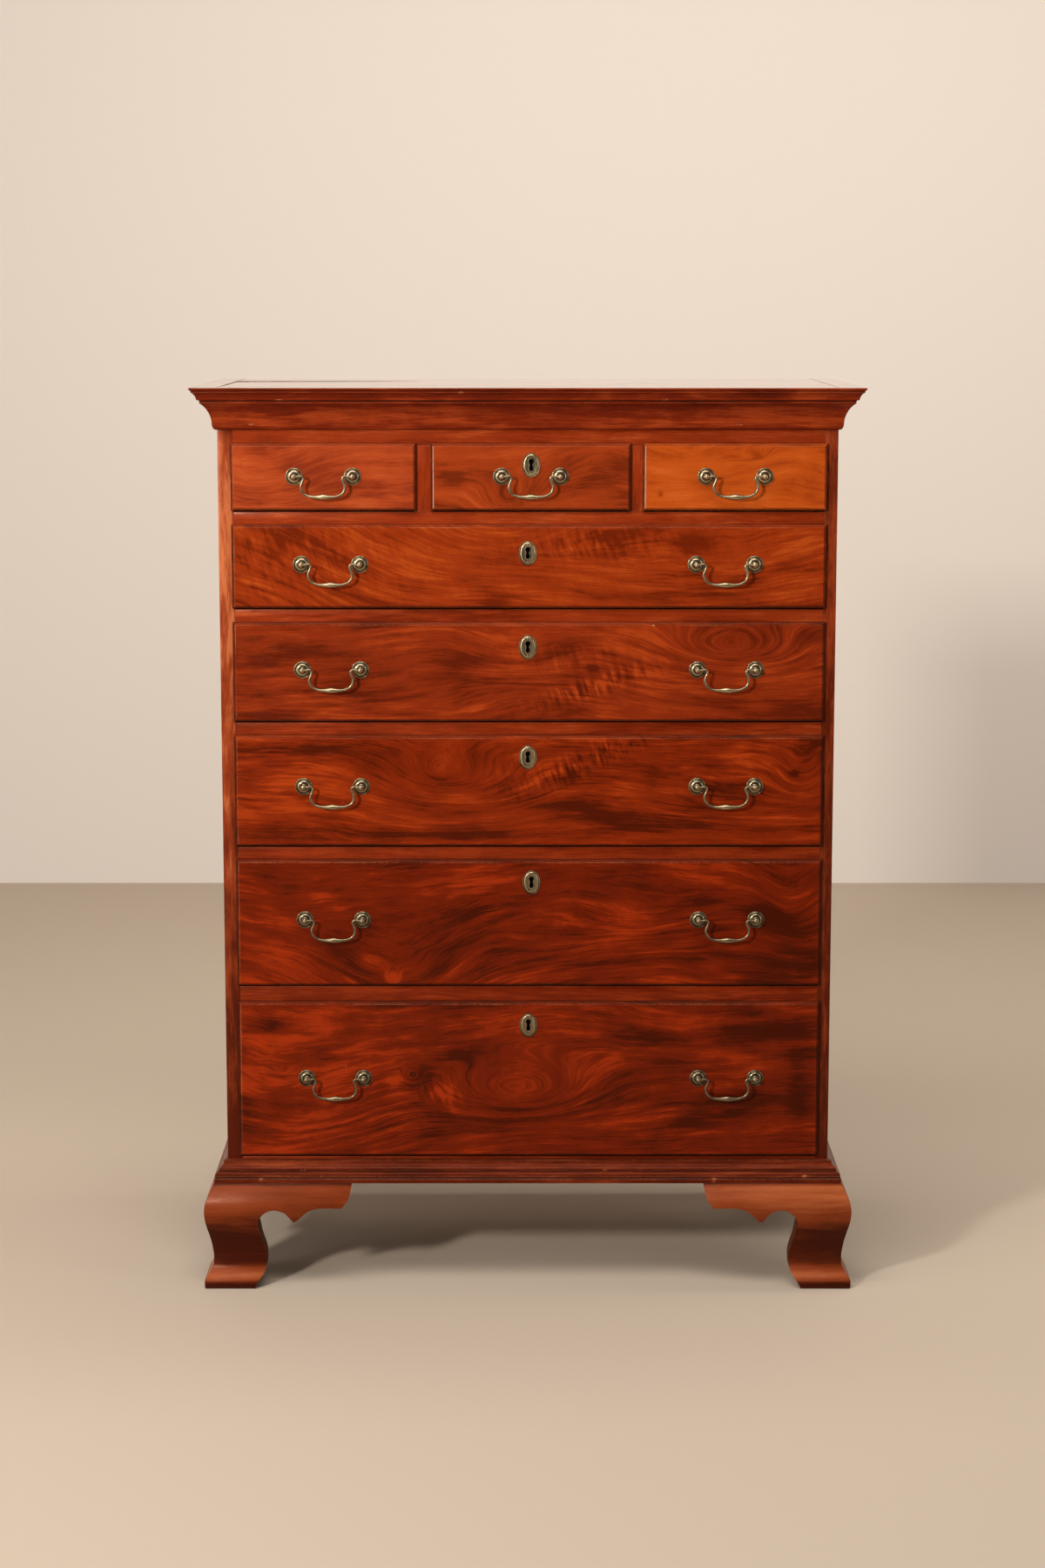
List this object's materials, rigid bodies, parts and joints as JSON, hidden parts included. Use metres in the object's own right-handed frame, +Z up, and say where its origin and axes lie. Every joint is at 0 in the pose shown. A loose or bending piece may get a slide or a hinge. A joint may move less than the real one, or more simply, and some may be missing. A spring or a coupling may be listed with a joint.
{
  "type": "tall chest of drawers",
  "caption": "Tall mahogany chest of drawers with a coved cornice, small drawers over graduated long drawers, swan-neck brass pulls and ogee bracket feet.",
  "frame": {"origin": "on the floor under the middle of the whole chest", "axes": "+Z up, the drawers open towards -Y, +X to the right of someone facing the chest"},
  "size_m": [1.011, 0.535, 1.3916],
  "materials": {
    "mahogany": "satin",
    "light_mahogany": "satin",
    "foot_mahogany": "satin",
    "pine": "raw",
    "brass": "aged"
  },
  "bodies": {
    "case": {"left_side": "mahogany", "right_side": "mahogany", "top_board": "mahogany", "bottom_board": "pine", "lower_back_board": "pine", "upper_back_board": "pine", "top_rail": "mahogany", "rail_1": "mahogany", "rail_2": "mahogany", "rail_3": "mahogany", "rail_4": "mahogany", "rail_5": "mahogany", "dustboard_1": "pine", "dustboard_2": "pine", "dustboard_3": "pine", "dustboard_4": "pine", "dustboard_5": "pine", "partition_left": "mahogany", "partition_right": "mahogany", "cornice_front": "mahogany", "cornice_left": "mahogany", "cornice_right": "mahogany", "base_moulding_front": "mahogany", "base_moulding_left": "mahogany", "base_moulding_right": "mahogany", "front_bracket_left": "foot_mahogany", "front_bracket_right": "foot_mahogany", "side_bracket_left": "foot_mahogany", "side_bracket_right": "foot_mahogany", "rear_foot_left": "foot_mahogany", "rear_foot_right": "foot_mahogany"},
    "drawer_top_left": {"drawer_front_top_left": "mahogany", "drawer_box_top_left": "pine"},
    "drawer_top_middle": {"drawer_front_top_middle": "mahogany", "drawer_box_top_middle": "pine"},
    "drawer_top_right": {"drawer_front_top_right": "light_mahogany", "drawer_box_top_right": "pine"},
    "drawer_2": {"drawer_front_2": "mahogany", "drawer_box_2": "pine"},
    "drawer_3": {"drawer_front_3": "mahogany", "drawer_box_3": "pine"},
    "drawer_4": {"drawer_front_4": "mahogany", "drawer_box_4": "pine"},
    "drawer_5": {"drawer_front_5": "mahogany", "drawer_box_5": "pine"},
    "drawer_6": {"drawer_front_6": "mahogany", "drawer_box_6": "pine"},
    "pull_top_left": {"bail_top_left": "brass"},
    "pull_top_middle": {"bail_top_middle": "brass"},
    "pull_top_right": {"bail_top_right": "brass"},
    "pull_2_left": {"bail_2_left": "brass"},
    "pull_2_right": {"bail_2_right": "brass"},
    "pull_3_left": {"bail_3_left": "brass"},
    "pull_3_right": {"bail_3_right": "brass"},
    "pull_4_left": {"bail_4_left": "brass"},
    "pull_4_right": {"bail_4_right": "brass"},
    "pull_5_left": {"bail_5_left": "brass"},
    "pull_5_right": {"bail_5_right": "brass"},
    "pull_6_left": {"bail_6_left": "brass"},
    "pull_6_right": {"bail_6_right": "brass"}
  },
  "joints": [
    {"name": "drawer_top_left_slide", "type": "slide", "parent": "case", "child": "drawer_top_left", "axis": [0, -1, 0], "range_m": [0, 0.38]},
    {"name": "drawer_top_middle_slide", "type": "slide", "parent": "case", "child": "drawer_top_middle", "axis": [0, -1, 0], "range_m": [0, 0.38]},
    {"name": "drawer_top_right_slide", "type": "slide", "parent": "case", "child": "drawer_top_right", "axis": [0, -1, 0], "range_m": [0, 0.38]},
    {"name": "drawer_2_slide", "type": "slide", "parent": "case", "child": "drawer_2", "axis": [0, -1, 0], "range_m": [0, 0.38]},
    {"name": "drawer_3_slide", "type": "slide", "parent": "case", "child": "drawer_3", "axis": [0, -1, 0], "range_m": [0, 0.38]},
    {"name": "drawer_4_slide", "type": "slide", "parent": "case", "child": "drawer_4", "axis": [0, -1, 0], "range_m": [0, 0.38]},
    {"name": "drawer_5_slide", "type": "slide", "parent": "case", "child": "drawer_5", "axis": [0, -1, 0], "range_m": [0, 0.38]},
    {"name": "drawer_6_slide", "type": "slide", "parent": "case", "child": "drawer_6", "axis": [0, -1, 0], "range_m": [0, 0.38]},
    {"name": "pull_top_left_swing", "type": "hinge", "parent": "drawer_top_left", "child": "pull_top_left", "pos_m": [-0.30775, -0.2485, 1.2589], "axis": [-1, 0, 0], "range_deg": [-15, 180]},
    {"name": "pull_top_middle_swing", "type": "hinge", "parent": "drawer_top_middle", "child": "pull_top_middle", "pos_m": [0.00465, -0.2485, 1.2589], "axis": [-1, 0, 0], "range_deg": [-15, 180]},
    {"name": "pull_top_right_swing", "type": "hinge", "parent": "drawer_top_right", "child": "pull_top_right", "pos_m": [0.31215, -0.2485, 1.2589], "axis": [-1, 0, 0], "range_deg": [-15, 180]},
    {"name": "pull_2_left_swing", "type": "hinge", "parent": "drawer_2", "child": "pull_2_left", "pos_m": [-0.298, -0.2485, 1.1266], "axis": [-1, 0, 0], "range_deg": [-15, 180]},
    {"name": "pull_2_right_swing", "type": "hinge", "parent": "drawer_2", "child": "pull_2_right", "pos_m": [0.2984, -0.2485, 1.1266], "axis": [-1, 0, 0], "range_deg": [-15, 180]},
    {"name": "pull_3_left_swing", "type": "hinge", "parent": "drawer_3", "child": "pull_3_left", "pos_m": [-0.298, -0.2485, 0.9666], "axis": [-1, 0, 0], "range_deg": [-15, 180]},
    {"name": "pull_3_right_swing", "type": "hinge", "parent": "drawer_3", "child": "pull_3_right", "pos_m": [0.3015, -0.2485, 0.9666], "axis": [-1, 0, 0], "range_deg": [-15, 180]},
    {"name": "pull_4_left_swing", "type": "hinge", "parent": "drawer_4", "child": "pull_4_left", "pos_m": [-0.298, -0.2485, 0.7874], "axis": [-1, 0, 0], "range_deg": [-15, 180]},
    {"name": "pull_4_right_swing", "type": "hinge", "parent": "drawer_4", "child": "pull_4_right", "pos_m": [0.3024, -0.2485, 0.7874], "axis": [-1, 0, 0], "range_deg": [-15, 180]},
    {"name": "pull_5_left_swing", "type": "hinge", "parent": "drawer_5", "child": "pull_5_left", "pos_m": [-0.298, -0.2485, 0.5802], "axis": [-1, 0, 0], "range_deg": [-15, 180]},
    {"name": "pull_5_right_swing", "type": "hinge", "parent": "drawer_5", "child": "pull_5_right", "pos_m": [0.3063, -0.2485, 0.5802], "axis": [-1, 0, 0], "range_deg": [-15, 180]},
    {"name": "pull_6_left_swing", "type": "hinge", "parent": "drawer_6", "child": "pull_6_left", "pos_m": [-0.298, -0.2485, 0.3301], "axis": [-1, 0, 0], "range_deg": [-15, 180]},
    {"name": "pull_6_right_swing", "type": "hinge", "parent": "drawer_6", "child": "pull_6_right", "pos_m": [0.308, -0.2485, 0.3301], "axis": [-1, 0, 0], "range_deg": [-15, 180]}
  ]
}
